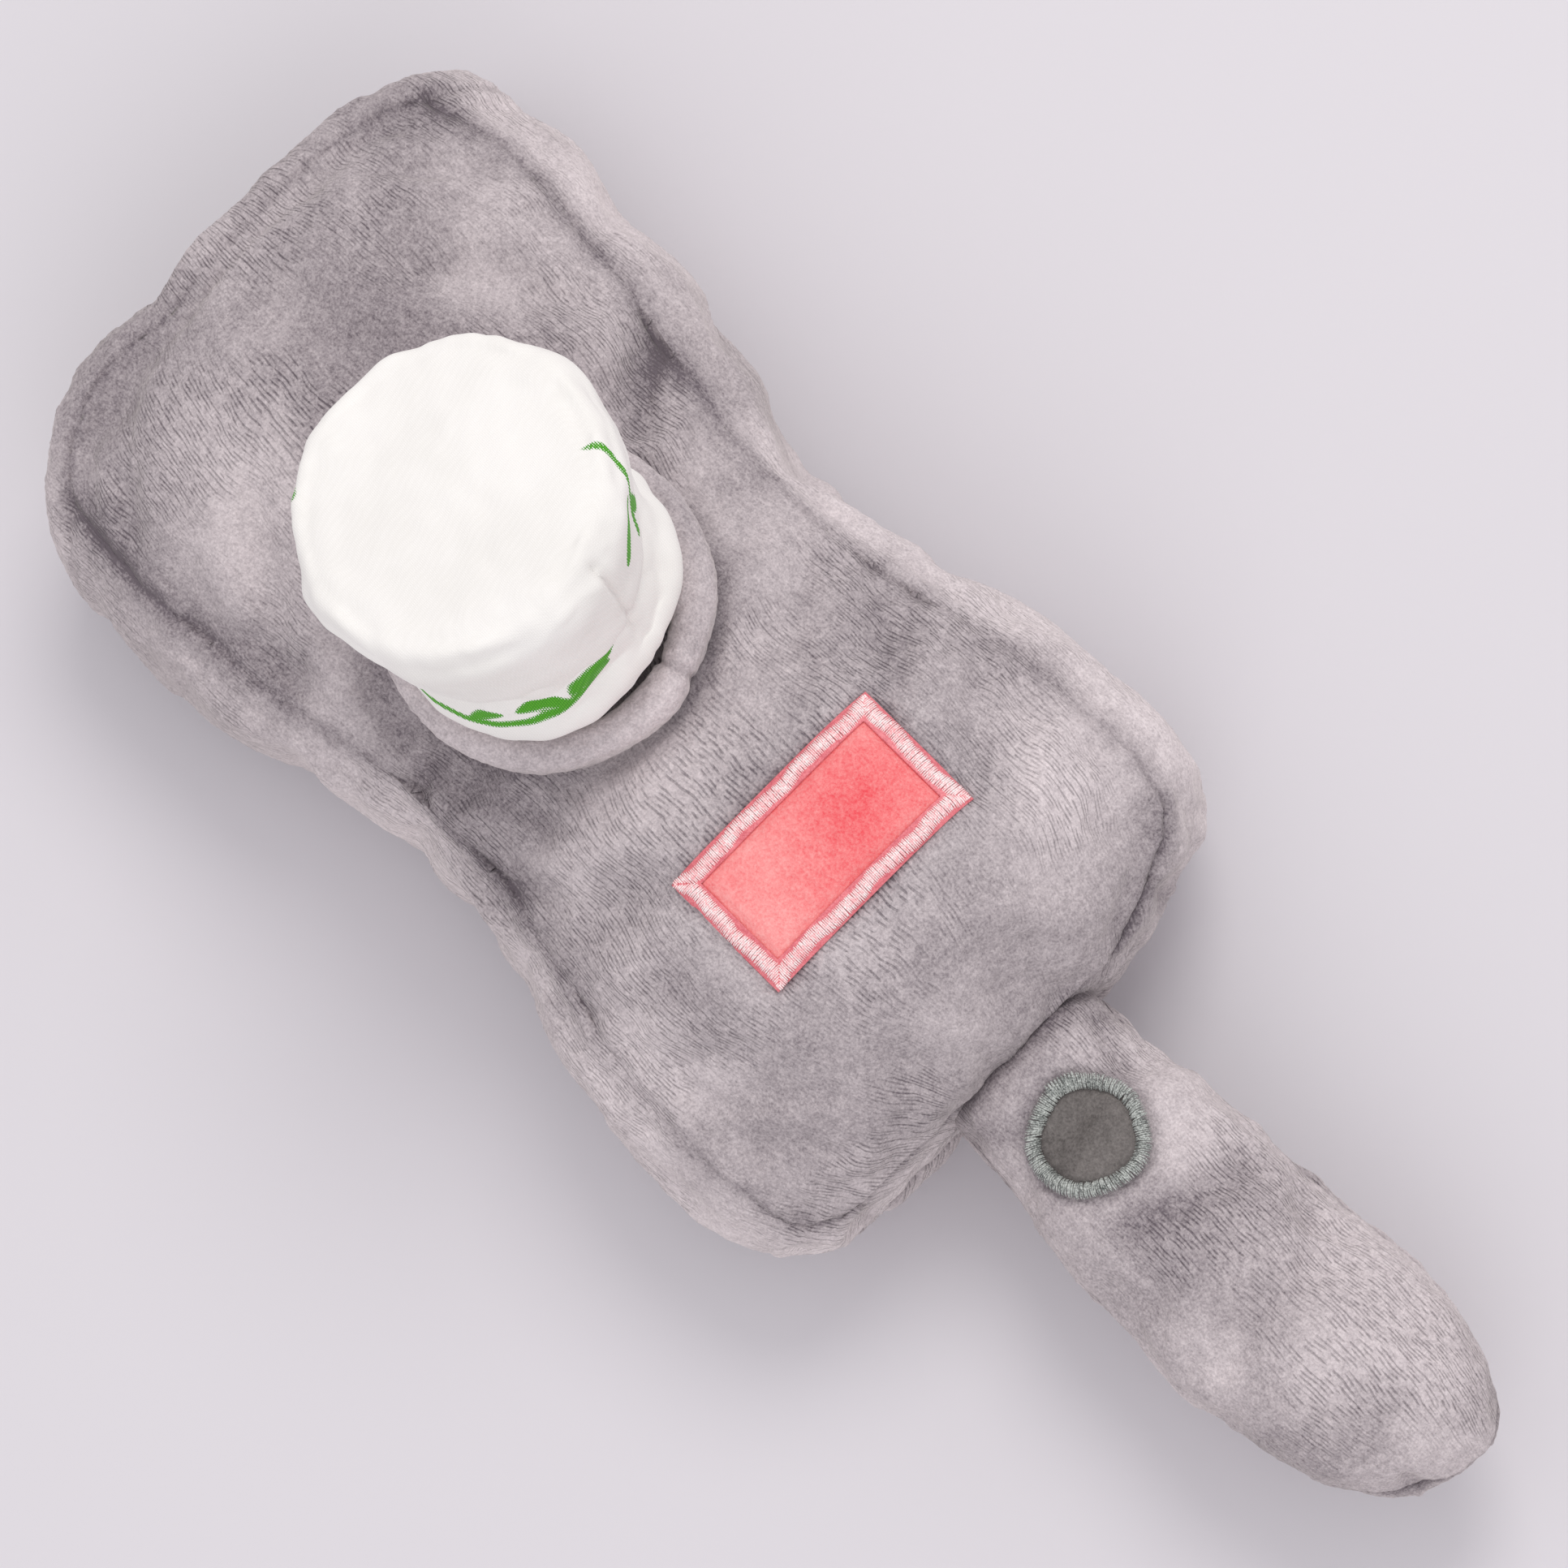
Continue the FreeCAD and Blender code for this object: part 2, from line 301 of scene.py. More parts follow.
class Finish:
    # a material with short calls for its nodes
    def __init__(self, name, **fixed):
        self.material = bpy.data.materials.new(name)
        self.material.use_nodes = True
        self.tree = self.material.node_tree
        self.shader = self.tree.nodes["Principled BSDF"]
        for socket, value in fixed.items():
            self.shader.inputs[socket.replace("_", " ")].default_value = value
        self.coordinates = self.tree.nodes.new("ShaderNodeTexCoord").outputs["Object"]

    def put(self, kind, inputs=None, **settings):
        node = self.tree.nodes.new(kind)
        for key, value in settings.items():
            setattr(node, key, value)
        for key, value in (inputs or {}).items():
            if isinstance(value, bpy.types.NodeSocket):
                self.tree.links.new(value, node.inputs[key])
            else:
                node.inputs[key].default_value = value
        return node.outputs

    def math(self, operation, a, b=0.0, clamp=False):
        return self.put("ShaderNodeMath", {0: a, 1: b}, operation=operation, use_clamp=clamp)[0]

    def scaled(self, vector, scale):
        return self.put("ShaderNodeMapping", {"Vector": vector, "Scale": scale})[0]

    def noise(self, vector, scale, detail=2.0, roughness=0.5):
        values = {"Vector": vector, "Scale": scale, "Detail": detail, "Roughness": roughness}
        return self.put("ShaderNodeTexNoise", values)["Fac"]

    def span(self, value, low, high, toLow=0.0, toHigh=1.0):
        values = {"Value": value, "From Min": low, "From Max": high, "To Min": toLow, "To Max": toHigh}
        return self.put("ShaderNodeMapRange", values, interpolation_type="SMOOTHSTEP")["Result"]

    def mix(self, factor, a, b):
        node = self.tree.nodes.new("ShaderNodeMix")
        node.data_type = "RGBA"
        for index, value in ((0, factor), (6, a), (7, b)):
            if isinstance(value, bpy.types.NodeSocket):
                self.tree.links.new(value, node.inputs[index])
            else:
                node.inputs[index].default_value = value
        return node.outputs[2]

    def attribute(self, name):
        return self.put("ShaderNodeAttribute", attribute_name=name)["Fac"]

    def wander(self, amount, scale):
        # object coordinates pushed about a little, so that lines wander
        values = {"Vector": self.coordinates, "Scale": scale, "Detail": 1.0}
        colour = self.put("ShaderNodeTexNoise", values)["Color"]
        centred = self.put("ShaderNodeVectorMath", {0: colour, 1: (0.5, 0.5, 0.5)}, operation="SUBTRACT")[0]
        pushed = self.put("ShaderNodeVectorMath", {0: centred, "Scale": amount}, operation="SCALE")[0]
        return self.put("ShaderNodeVectorMath", {0: self.coordinates, 1: pushed}, operation="ADD")[0]

    def finish(self, colour, height, strength, distance):
        bump = self.put("ShaderNodeBump", {"Height": height, "Strength": strength, "Distance": distance})[0]
        self.tree.links.new(colour, self.shader.inputs["Base Color"])
        self.tree.links.new(bump, self.shader.inputs["Normal"])
        return self.material


def rgb(red, green, blue):
    # 0 to 255 as seen on a screen, to the shader's linear colour
    linear = [((c / 255 + 0.055) / 1.055) ** 2.4 for c in (red, green, blue)]
    return (*linear, 1.0)


def pileFinish(name, dark, light, sheen, combing=0.0):
    # short brushed pile: loose fuzz all over and, where it is combed, broken rows along X
    make = Finish(name, Roughness=0.95, Sheen_Weight=sheen, Sheen_Roughness=0.45)
    make.shader.inputs["Sheen Tint"].default_value = rgb(236, 230, 222)
    make.shader.inputs["Specular IOR Level"].default_value = 0.12
    fuzz = make.noise(make.coordinates, 1700, 2.0, 0.7)
    tuft = make.noise(make.coordinates, 520, 2.0, 0.6)
    swept = make.noise(make.coordinates, 24, 3.0, 0.55)
    tone = make.span(swept, 0.34, 0.66, 0.37, 0.73)
    tone = make.math("ADD", tone, make.math("MULTIPLY", make.math("SUBTRACT", tuft, 0.5), 0.45))
    tone = make.math("ADD", tone, make.math("MULTIPLY", make.math("SUBTRACT", fuzz, 0.5), 0.9))
    height = make.math("ADD", make.math("MULTIPLY", fuzz, 0.5), make.math("MULTIPLY", tuft, 0.6))
    if combing:
        rowPitch = 1.0 * millimetre
        across = make.attribute("across")
        lengthways = make.put("ShaderNodeSeparateXYZ", {0: make.coordinates})["X"]
        place = make.put("ShaderNodeCombineXYZ", {"X": lengthways, "Y": across, "Z": 0.0})[0]
        bend = make.math("MULTIPLY", make.noise(place, 70, 2.0, 0.5), 26.0)
        phase = make.math("ADD", make.math("MULTIPLY", across, 2 * math.pi / rowPitch), bend)
        rows = make.span(make.math("SINE", phase), 0.0, 0.9)
        broken = make.span(make.noise(make.scaled(place, (280, 850, 1)), 1.0, 1.0), 0.43, 0.57)
        where = make.span(make.noise(make.coordinates, 30, 2.0, 0.55), 0.42, 0.60, 0.12, 1.0)
        combed = make.math("MULTIPLY", make.math("MULTIPLY", rows, broken), where)
        tone = make.math("SUBTRACT", tone, make.math("MULTIPLY", combed, combing))
        height = make.math("SUBTRACT", height, make.math("MULTIPLY", combed, 0.8))
    # the shade attribute darkens the colour, and lightens it where it is below 0: painted shade and painted
    # light on the body, collar and handle
    tone = make.math("SUBTRACT", tone, make.math("MULTIPLY", make.attribute("shade"), 0.62), True)
    return make.finish(make.mix(tone, dark, light), height, 0.6, 0.0006)


def threadFinish(name, dark, light):
    make = Finish(name, Roughness=0.42, Sheen_Weight=0.25, Sheen_Roughness=0.4)
    fibre = make.noise(make.coordinates, 2600, 2.0, 0.6)
    patchy = make.noise(make.coordinates, 420, 2.0, 0.6)
    tone = make.math("ADD", make.math("MULTIPLY", fibre, 0.85), make.math("MULTIPLY", patchy, 0.45))
    colour = make.mix(make.span(tone, 0.4, 0.9), dark, light)
    return make.finish(colour, fibre, 0.35, 0.0002)


def weaveFinish(name, dark, light, pitch, ink=None):
    # plain weave: two crossed sets of threads, and a print where the ink attribute says so
    make = Finish(name, Roughness=0.85, Sheen_Weight=0.05, Sheen_Roughness=0.5)
    bands = 2 * math.pi / (pitch * millimetre) / 20  # a wave texture of scale 1 has a period of 2 pi / 20
    path = make.wander(0.0006, 120)
    threads = []
    for direction in ("X", "Y", "Z"):
        values = {"Vector": path, "Scale": bands, "Distortion": 0.4, "Detail": 1.0, "Detail Scale": 2.0}
        settings = {"wave_type": "BANDS", "bands_direction": direction}
        threads.append(make.put("ShaderNodeTexWave", values, **settings)["Fac"])
    crossed = make.math("MULTIPLY", make.math("ADD", threads[0], threads[2]), threads[1])
    soil = make.noise(make.coordinates, 38, 3.0, 0.6)
    tone = make.math("ADD", make.math("MULTIPLY", crossed, 0.25), make.span(soil, 0.3, 0.7, 0.45, 0.8))
    colour = make.mix(tone, dark, light)
    if ink:
        distance = make.attribute("ink")
        rough = make.math("MULTIPLY", make.math("SUBTRACT", crossed, 0.5), 0.35)
        mask = make.span(make.math("ADD", distance, rough), -0.12, 0.12, 1.0, 0.0)
        shade = make.mix(crossed, ink[0], ink[1])
        colour = make.mix(mask, colour, shade)
    return make.finish(colour, crossed, 0.25, 0.00012)


darkGrey, lightGrey = rgb(106, 97, 103), rgb(228, 217, 218)
greyPile = pileFinish("greyPile", darkGrey, lightGrey, 0.40, 0.30)
collarPile = pileFinish("collarPile", darkGrey, lightGrey, 0.40)
coralPile = pileFinish("coralPile", rgb(236, 82, 90), rgb(255, 186, 182), 0.25)
buttonPile = pileFinish("buttonPile", rgb(50, 46, 45), rgb(142, 136, 133), 0.12)
pinkThread = threadFinish("pinkThread", rgb(250, 172, 176), rgb(255, 252, 250))
roseThread = threadFinish("roseThread", rgb(206, 92, 104), rgb(240, 136, 142))
greenGreyThread = threadFinish("greenGreyThread", rgb(78, 82, 80), rgb(208, 212, 206))
whiteCloth = weaveFinish("whiteCloth", rgb(224, 221, 215), rgb(246, 243, 239), 0.42,
                         (rgb(60, 142, 14), rgb(92, 178, 34)))
liningCloth = weaveFinish("liningCloth", rgb(150, 142, 138), rgb(196, 188, 182), 0.5)
print("stage: finishes made")


body = {
    "nodes": ["front_panel", "back_panel", "side_gusset_right", "side_gusset_left", "end_gusset",
              "front_padding", "back_padding", "side_padding_right", "side_padding_left", "end_padding",
              "lining_front", "lining_back", "mouth_hem", "mouth_elastic"],
    "voxel": 4.0,
    "cloth": {"quality": 5, "mass": 0.3, "stretch": 12.0, "shear": 4.0, "bend": 0.4, "shrink": -0.05,
              "pressure": 3.0, "frames": 20, "cap": 6.0, "quickSwell": 3.0},
    "slim": 2.0,  # how much the skin is taken in before it swells
    "middle": 32.0,  # height of the body's middle
    "top": 66.0, "widest": 68.0,
    "mouthEnd": -183.0, "mouthMiddle": 5.0, "mouthHalfWidth": 61.0, "mouthCornerDepth": 13.6,
    "hemWidth": 8.0, "hemSeamDepth": 0.7, "gather": 0.4,
    "laidBack": 2.4,  # how far the front's edge at the mouth lies back
    "mouthDent": {"middle": -14, "width": 8, "depth": 1.8},
    "endWidth": 44.0,  # half the width of the end gusset
    "endStart": 36.0,
    "frontSeam": [(-200, 42), (-165, 51), (-120, 54), (-50, 54.5), (20, 54), (42, 50), (54, 43), (70, 36)],
    "backSeam": [(-200, 22), (-165, 14), (-120, 11), (-50, 10.5), (20, 11), (42, 15), (54, 20), (70, 25)],
    "seamDepth": 1.9, "seamWidth": 1.4,  # the stitched line itself
    "valleyDepth": 1.5, "valleyWidth": 4.6,  # the cloth drawn down to it on both sides
    "heldWidth": 3.4,  # how wide a strip the thread holds down while the skin swells
    "slackEnd": 0.35,  # how tight the short seams at the end are, next to the long ones
    "pucker": 0.7, "gussetSwell": 1.4,
    "patchDent": 1.0, "collarDent": 1.6, "underCup": 3.6,
}


def along(table):
    xs, zs = np.array(table, float).T
    return lambda points: np.interp(points[:, 0], xs, zs)


frontSeamHeight = along(body["frontSeam"])
backSeamHeight = along(body["backSeam"])


def mouthLine(points):
    # the mouth's edge, nearly straight with rounded-off corners: x where the cloth ends, for each y
    share = np.minimum(np.abs(points[:, 1] - body["mouthMiddle"]) / body["mouthHalfWidth"], 1.3)
    return body["mouthEnd"] + body["mouthCornerDepth"] * share**4


def outward(points, normals):
    # positive on the outer skin, negative on the lining
    away = points * [0, 1, 1] - [0, 0, body["middle"]]
    reach = np.linalg.norm(away, axis=1)
    facing = (normals * away).sum(1) / np.maximum(reach, 1e-6)
    atEnd = points[:, 0] > body["endStart"] + 4
    return np.where(atEnd, facing + normals[:, 0], facing)


def seamDistance(points, line):
    return np.abs(points[:, 2] - line(points))


bodyCast = castSkin("bodyCast", body["nodes"], body["voxel"])
points, normals = readPoints(bodyCast), readNormals(bodyCast)
outer = outward(points, normals) > 0
pastMouth = points[:, 0] - mouthLine(points)
toSeam = np.minimum(seamDistance(points, frontSeamHeight), seamDistance(points, backSeamHeight))
onSeam = np.where(outer, bell(toSeam, body["heldWidth"]), 0)
onHem = 0.9 * (1 - ramp(pastMouth, 6, 13))
onBase = 1 - ramp(points[:, 2], 2.0, 5.0)
onLining = np.where(outer, 0, 0.6)
held = np.clip(np.maximum.reduce([onSeam, onHem, onBase, onLining]), 0, 1)
writePoints(bodyCast, points - normals * (outer * body["slim"] * (1 - held))[:, None])
puff(bodyCast, body["cloth"], held)
refine(bodyCast, 1)
print("stage: body swelled,", len(bodyCast.data.vertices), "points")
smoothBody = surfaceOf(bodyCast)  # what is sewn on lies on this

refine(bodyCast, 1)
cutAlong(bodyCast, 0, lambda p: mouthLine(p) + body["hemWidth"])
cutAlong(bodyCast, 2, frontSeamHeight)
cutAlong(bodyCast, 2, backSeamHeight)
for edge in (-body["endWidth"], body["endWidth"]):
    cutAlong(bodyCast, 1, lambda p, edge=edge: np.full(len(p), edge))


panelNames = ["lining", "mouthHem", "frontPanel", "backPanel", "endGusset", "rightGusset", "leftGusset"]
panels = {name: number for number, name in enumerate(panelNames)}


def labelPanels(piece):
    # which panel each face belongs to, kept on the faces while the skin is shaped further
    mesh = piece.data
    centres = centresOf(mesh)
    facing = np.empty(len(mesh.polygons) * 3)
    mesh.polygons.foreach_get("normal", facing)
    facing = facing.reshape(-1, 3)
    panel = np.where(centres[:, 1] > 0, panels["rightGusset"], panels["leftGusset"])
    atEnd = (centres[:, 0] > body["endStart"]) & (np.abs(centres[:, 1]) < body["endWidth"])
    panel[atEnd] = panels["endGusset"]
    panel[centres[:, 2] > frontSeamHeight(centres)] = panels["frontPanel"]
    panel[centres[:, 2] < backSeamHeight(centres)] = panels["backPanel"]
    panel[outward(centres, facing) < 0] = panels["lining"]
    panel[centres[:, 0] < mouthLine(centres) + body["hemWidth"]] = panels["mouthHem"]
    label = mesh.attributes.new("panel", "INT", "FACE")
    label.data.foreach_set("value", panel.astype(np.int32))


labelPanels(bodyCast)

patch = {
    "centre": (5.0, 3.0), "length": 30.0, "width": 54.0, "border": 3.4,
    "stitchPitch": 0.41, "stitchWidth": 0.43, "stitchHeight": 0.5, "arch": 0.85,
    "sink": 1.0,  # how far all of it lies below the skin that it is laid on
    "rise": 1.5,  # how far the pile stands up inside the border
    "edgeWidth": 4.6, "edgePast": 0.6,  # the rose edge, and how far it shows outside the border
}
collar = {
    "centre": (-68.5, -1.8), "outer": 34.0, "inner": 27.2, "top": 77.3, "jointAngle": 17.0,
    "shiftIn": 0.35, "fatter": 0.7,  # how the soft roll differs from the space between outer and inner
    "footReach": 3.4,  # how far its foot goes down into the panel
}

# pinches and folds in the front panel: start, end, depth, width
folds = [
    ((-97, 56), (-84, 37), 3.2, 5.0),
    ((-84, 37), (-76, 32), 2.0, 4.0),
    ((-66, -56), (-64, -42), 2.6, 4.0),
    ((-122, -55), (-100, -48), 1.8, 5.0),
    ((-46, -52), (-30, -44), 1.6, 4.0),
    ((-30, 50), (-12, 38), 1.4, 4.0),
    ((22, -20), (40, -28), 0.9, 5.0),
    ((-94, -35), (-76, -42), 2.4, 5.0),
    ((-58, -40), (-40, -34), 1.5, 4.5),
    ((-20, 52), (-4, 30), 1.5, 4.5),
    ((-8, -56), (4, -38), 1.0, 4.5),
]

# where the pile lies darker (above 0) or lighter: middle, radius, change; the one at (-100, 38) is painted
# shade from the leaning cup
swept = [
    ((-132, 12), 32, 0.12), ((-36, 30), 26, 0.12), ((-40, -42), 20, -0.12), ((44, -36), 26, -0.10),
    ((28, 46), 22, -0.12), ((-156, -22), 18, -0.12), ((-100, 38), 16, 0.16), ((8, -34), 16, 0.08),
]


def foldDepth(points, table):
    depth = np.zeros(len(points))
    for start, end, deep, width in table:
        start, end = np.array(start, float), np.array(end, float)
        run = end - start
        share = np.clip(((points[:, :2] - start) @ run) / (run @ run), 0, 1)
        away = np.linalg.norm(points[:, :2] - (start + share[:, None] * run), axis=1)
        depth = np.maximum(depth, deep * bell(away, width))
    return depth


points, normals = readPoints(bodyCast), readNormals(bodyCast)
outer = outward(points, normals) > 0
pastMouth = points[:, 0] - mouthLine(points)
toFront, toBack = seamDistance(points, frontSeamHeight), seamDistance(points, backSeamHeight)
between = (points[:, 2] < frontSeamHeight(points)) & (points[:, 2] > backSeamHeight(points))
farAway = 99
atEnd = between & (points[:, 0] > body["endStart"] + 8)
toEnd = np.where(atEnd, np.abs(np.abs(points[:, 1]) - body["endWidth"]), farAway)
nearest = np.minimum.reduce([toFront, toBack, toEnd])
sewn = outer * ramp(pastMouth, 2, 10)
tight = 0.72 + 0.42 * softNoise(points, (30, 60, 60), 4)  # the seam is drawn tighter in places
seam = bell(nearest, body["seamWidth"]) * sewn * tight
valley = bell(nearest, body["valleyWidth"]) * sewn * tight
pucker = softNoise(points, (5.5, 18, 18), 3) * bell(np.minimum(toFront, toBack) - 6, 5)
drawn = np.where(nearest == toEnd, body["slackEnd"], 1.0)
seam, valley = seam * drawn, valley * drawn
pull = -seam * body["seamDepth"] - valley * body["valleyDepth"] + pucker * body["pucker"] * sewn
hemSeam = bell(pastMouth - body["hemWidth"], 1.3) * outer
gather = softNoise(points, (40, 6.5, 6.5), 7) * (1 - ramp(pastMouth, 9, 17))
pull += body["gather"] * gather - body["hemSeamDepth"] * hemSeam
onFront = outer & (points[:, 2] > frontSeamHeight(points))
fold = foldDepth(points, folds) * onFront
pull -= fold
pull += body["gussetSwell"] * between * sewn * ramp(nearest, 2, 9)
lumps = softNoise(points, (34, 26, 26), 11) * 1.0 + softNoise(points, (13, 10, 10), 12) * 0.35
pull += lumps * (1 - seam) * outer
fromPatch = np.maximum(np.abs(points[:, 0] - patch["centre"][0]) - patch["length"] / 2,
                       np.abs(points[:, 1] - patch["centre"][1]) - patch["width"] / 2)
pull -= body["patchDent"] * (1 - ramp(fromPatch, -1.5, 4.0)) * onFront
fromCollar = np.hypot(*(points[:, :2] - collar["centre"]).T) - collar["outer"]
pull -= body["collarDent"] * bell(fromCollar, 4.0) * onFront
pull -= body["underCup"] * (1 - ramp(fromCollar, -12, -6)) * onFront  # pressed flat under the cup
pull += pileRelief(points, 21) * outer
keepValues(bodyCast, "across", acrossSkin(points, body["top"], body["widest"]))
# painted shade in the seams and their valleys, the folds and the hem seam, round the collar's foot and
# round the patch
shade = 0.58 * seam + 0.22 * valley + 0.17 * fold + 0.2 * hemSeam + 0.35 * bell(fromCollar, 2.2) * onFront
# painted light: the raised lumps, and the gussets away from their seams, are painted lighter
shade -= 0.14 * lumps * outer + 0.2 * ramp(nearest, 1.5, 6) * between
shade += 0.3 * onFront * bell(fromPatch - 0.4, 1.3)
# the pile's own darker and lighter patches from the swept table, one of which is painted shade
for (x, y), radius, change in swept:
    shade += change * onFront * bell(np.hypot(points[:, 0] - x, points[:, 1] - y), radius)
keepValues(bodyCast, "shade", np.clip(shade, -0.35, 1))
points = points + normals * pull[:, None]
laidBack = body["laidBack"] * ramp(points[:, 2], 26, 44) * (1 - ramp(-points[:, 1], 15, 45))
dent = body["mouthDent"]
laidBack += dent["depth"] * bell(points[:, 1] - dent["middle"], dent["width"])
points[:, 0] += (1 - ramp(pastMouth, 0, 34)) * laidBack
points[:, 2] = np.maximum(points[:, 2], 0.02)  # it rests on the ground, not in it
writePoints(bodyCast, points)


def labelled(number):
    def test(mesh):
        values = np.empty(len(mesh.polygons), np.int32)
        mesh.attributes["panel"].data.foreach_get("value", values)
        return values == number
    return test


lining, hem, frontPanel, backPanel, endGusset, rightGusset = (
    split(bodyCast, name, labelled(panels[name])) for name in panelNames[:-1])
leftGusset = bodyCast
leftGusset.name = leftGusset.data.name = "leftGusset"
bodyPieces = {
    frontPanel: ["front_panel", "front_padding"], backPanel: ["back_panel", "back_padding"],
    rightGusset: ["side_gusset_right", "side_padding_right"],
    leftGusset: ["side_gusset_left", "side_padding_left"],
    endGusset: ["end_gusset", "end_padding"], hem: ["mouth_hem", "mouth_elastic"],
    lining: ["lining_front", "lining_back"],
}
for piece, stoodFor in bodyPieces.items():
    dress(piece, liningCloth if piece is lining else greyPile)
    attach(piece, "cover")
    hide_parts(*stoodFor)
    print("  ", piece.name, len(piece.data.polygons), "faces")
print("stage: body sewn")


def stitchPattern():
    # one satin stitch: a thread that tapers into the cloth at both ends, lying along X
    deselect()
    bpy.ops.mesh.primitive_uv_sphere_add(segments=6, ring_count=6, radius=0.0005)
    pattern = bpy.context.active_object
    pattern.name = "stitchPattern"
    bpy.ops.object.mode_set(mode="EDIT")
    bpy.ops.mesh.select_all(action="SELECT")
    bpy.ops.transform.rotate(value=math.pi / 2, orient_axis="Y", center_override=(0, 0, 0))
    bpy.ops.object.mode_set(mode="OBJECT")
    return pattern


def stitchPoints(pattern, place, across, length, width, height, arch):
    # the pattern's points as (x, y, height above the skin), for one stitch
    local = readPoints(pattern)
    t = local[:, 0] * 2  # -1 to 1 along the thread
    fat = np.sign(t) * np.abs(t) ** 0.8 / 2  # blunter ends than a sphere's
    alongBorder = np.array([-across[1], across[0]])
    flat = np.outer(fat * length, across) + np.outer(local[:, 1] * width, alongBorder) + place
    rise = local[:, 2] * height + arch * (1 - t * t)
    return np.column_stack([flat, rise])


stitch = stitchPattern()


def patchPieces():
    rng = np.random.default_rng(5)
    cx, cy = patch["centre"]
    halfX, halfY = patch["length"] / 2, patch["width"] / 2
    band = patch["border"]
    placed = []
    sides = [  # start corner, direction along the side, outward direction, length
        ((cx - halfX, cy - halfY), (1, 0), (0, -1), 2 * halfX),
        ((cx + halfX, cy - halfY), (0, 1), (1, 0), 2 * halfY),
        ((cx + halfX, cy + halfY), (-1, 0), (0, 1), 2 * halfX),
        ((cx - halfX, cy + halfY), (0, -1), (-1, 0), 2 * halfY),
    ]
    for corner, direction, out, length in sides:
        corner, direction, out = np.array(corner), np.array(direction, float), np.array(out, float)
        count = int(length / patch["stitchPitch"])
        for i in range(count):
            s = (i + 0.5) / count * length
            reach = max(min(band, s, length - s), 0.7)  # mitred at the corners
            middle = corner + direction * s - out * (reach / 2)
            waver = 0.3 * math.sin(s / 3.1 + corner[0]) + 0.14 * math.sin(s / 1.3 + corner[1])
            middle = middle + out * waver + rng.normal(0, 0.03, 2)
            turn = rng.normal(0, 0.03)
            across = out * math.cos(turn) + direction * math.sin(turn)
            long = reach + rng.normal(0.2, 0.12) + (0.5 if reach < band else 0)
            flat = stitchPoints(stitch, middle, across, long, patch["stitchWidth"], patch["stitchHeight"],
                                patch["arch"] * min(1, reach / band))
            flat[:, 2] += 0.7
            placed.append(layOn(smoothBody, flat, patch["sink"]))
    border = copyMany("patchStitches", stitch, placed)
    # the cloth under the stitches and the pile inside them
    deselect()
    bpy.ops.mesh.primitive_grid_add(x_subdivisions=56, y_subdivisions=100, size=1, location=(0, 0, 0))
    field = bpy.context.active_object
    field.name = field.data.name = "patchField"
    flat = readPoints(field) / 1000
    inner = np.column_stack([flat[:, 0] * (patch["length"] - 2.0), flat[:, 1] * (patch["width"] - 2.0)])
    edge = np.minimum(halfX - 1 - np.abs(inner[:, 0]), halfY - 1 - np.abs(inner[:, 1]))
    rise = 0.15 + patch["rise"] * ramp(edge, band - 1.4, band + 2.0)
    spots = np.column_stack([inner[:, 0] + cx, inner[:, 1] + cy, rise])
    level = spots * [1, 1, 0]
    relief = softNoise(level, (2.2, 1.1, 1), 31) * 0.14 + softNoise(level, (11, 9, 1), 32) * 0.3
    spots[:, 2] += relief * ramp(edge, band - 1.2, band + 1.0)
    # the field's pile darker towards its middle and lighter towards its edges
    keepValues(field, "shade", 0.45 * bell(np.hypot(inner[:, 0] - 2, inner[:, 1] - 7), 15) - 0.12)
    writePoints(field, layOn(smoothBody, spots, patch["sink"]))
    thicken(field, 1.0)
    # the patch's rose edge, which shows outside the stitches
    past = patch["edgePast"]
    deselect()
    bpy.ops.mesh.primitive_plane_add(size=1)
    edging = bpy.context.active_object
    edging.name = edging.data.name = "patchEdge"
    bpy.ops.object.mode_set(mode="EDIT")
    bpy.ops.mesh.select_all(action="SELECT")
    bpy.ops.transform.resize(value=((halfX + past) * 2 / 1000, (halfY + past) * 2 / 1000, 1))
    bpy.ops.mesh.inset(thickness=patch["edgeWidth"] * millimetre)
    bpy.ops.mesh.delete(type="FACE")
    bpy.ops.mesh.select_all(action="SELECT")
    bpy.ops.mesh.subdivide(number_cuts=5)
    bpy.ops.object.mode_set(mode="OBJECT")
    refineEdge = edging.modifiers.new("refine", "SUBSURF")
    refineEdge.subdivision_type = "SIMPLE"
    refineEdge.levels = refineEdge.render_levels = 2
    applyModifier(edging, refineEdge)
    local = readPoints(edging)[:, :2]
    inside = np.minimum(halfX + past - np.abs(local[:, 0]), halfY + past - np.abs(local[:, 1]))
    spots = np.column_stack([local + [cx, cy], 0.55 + 0.5 * ramp(inside, 0, 1.2)])
    writePoints(edging, layOn(smoothBody, spots, patch["sink"]))
    thicken(edging, 0.9)
    return border, field, edging


border, field, edging = patchPieces()
for piece, finish, slotName in ((border, pinkThread, "pink_thread"), (field, coralPile, "coral_plush"),
                                (edging, roseThread, "pink_thread")):
    dress(piece, finish)
    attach(piece, "cover")
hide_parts("front_patch")
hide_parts("patch_border")
print("stage: patch stitched,", len(border.data.polygons), "faces of thread")


def fromJoint(x, y):
    # angle in radians round the collar from where its ends are joined
    turn = np.arctan2(y, x) - math.radians(collar["jointAngle"])
    return np.abs(np.angle(np.exp(1j * turn)))


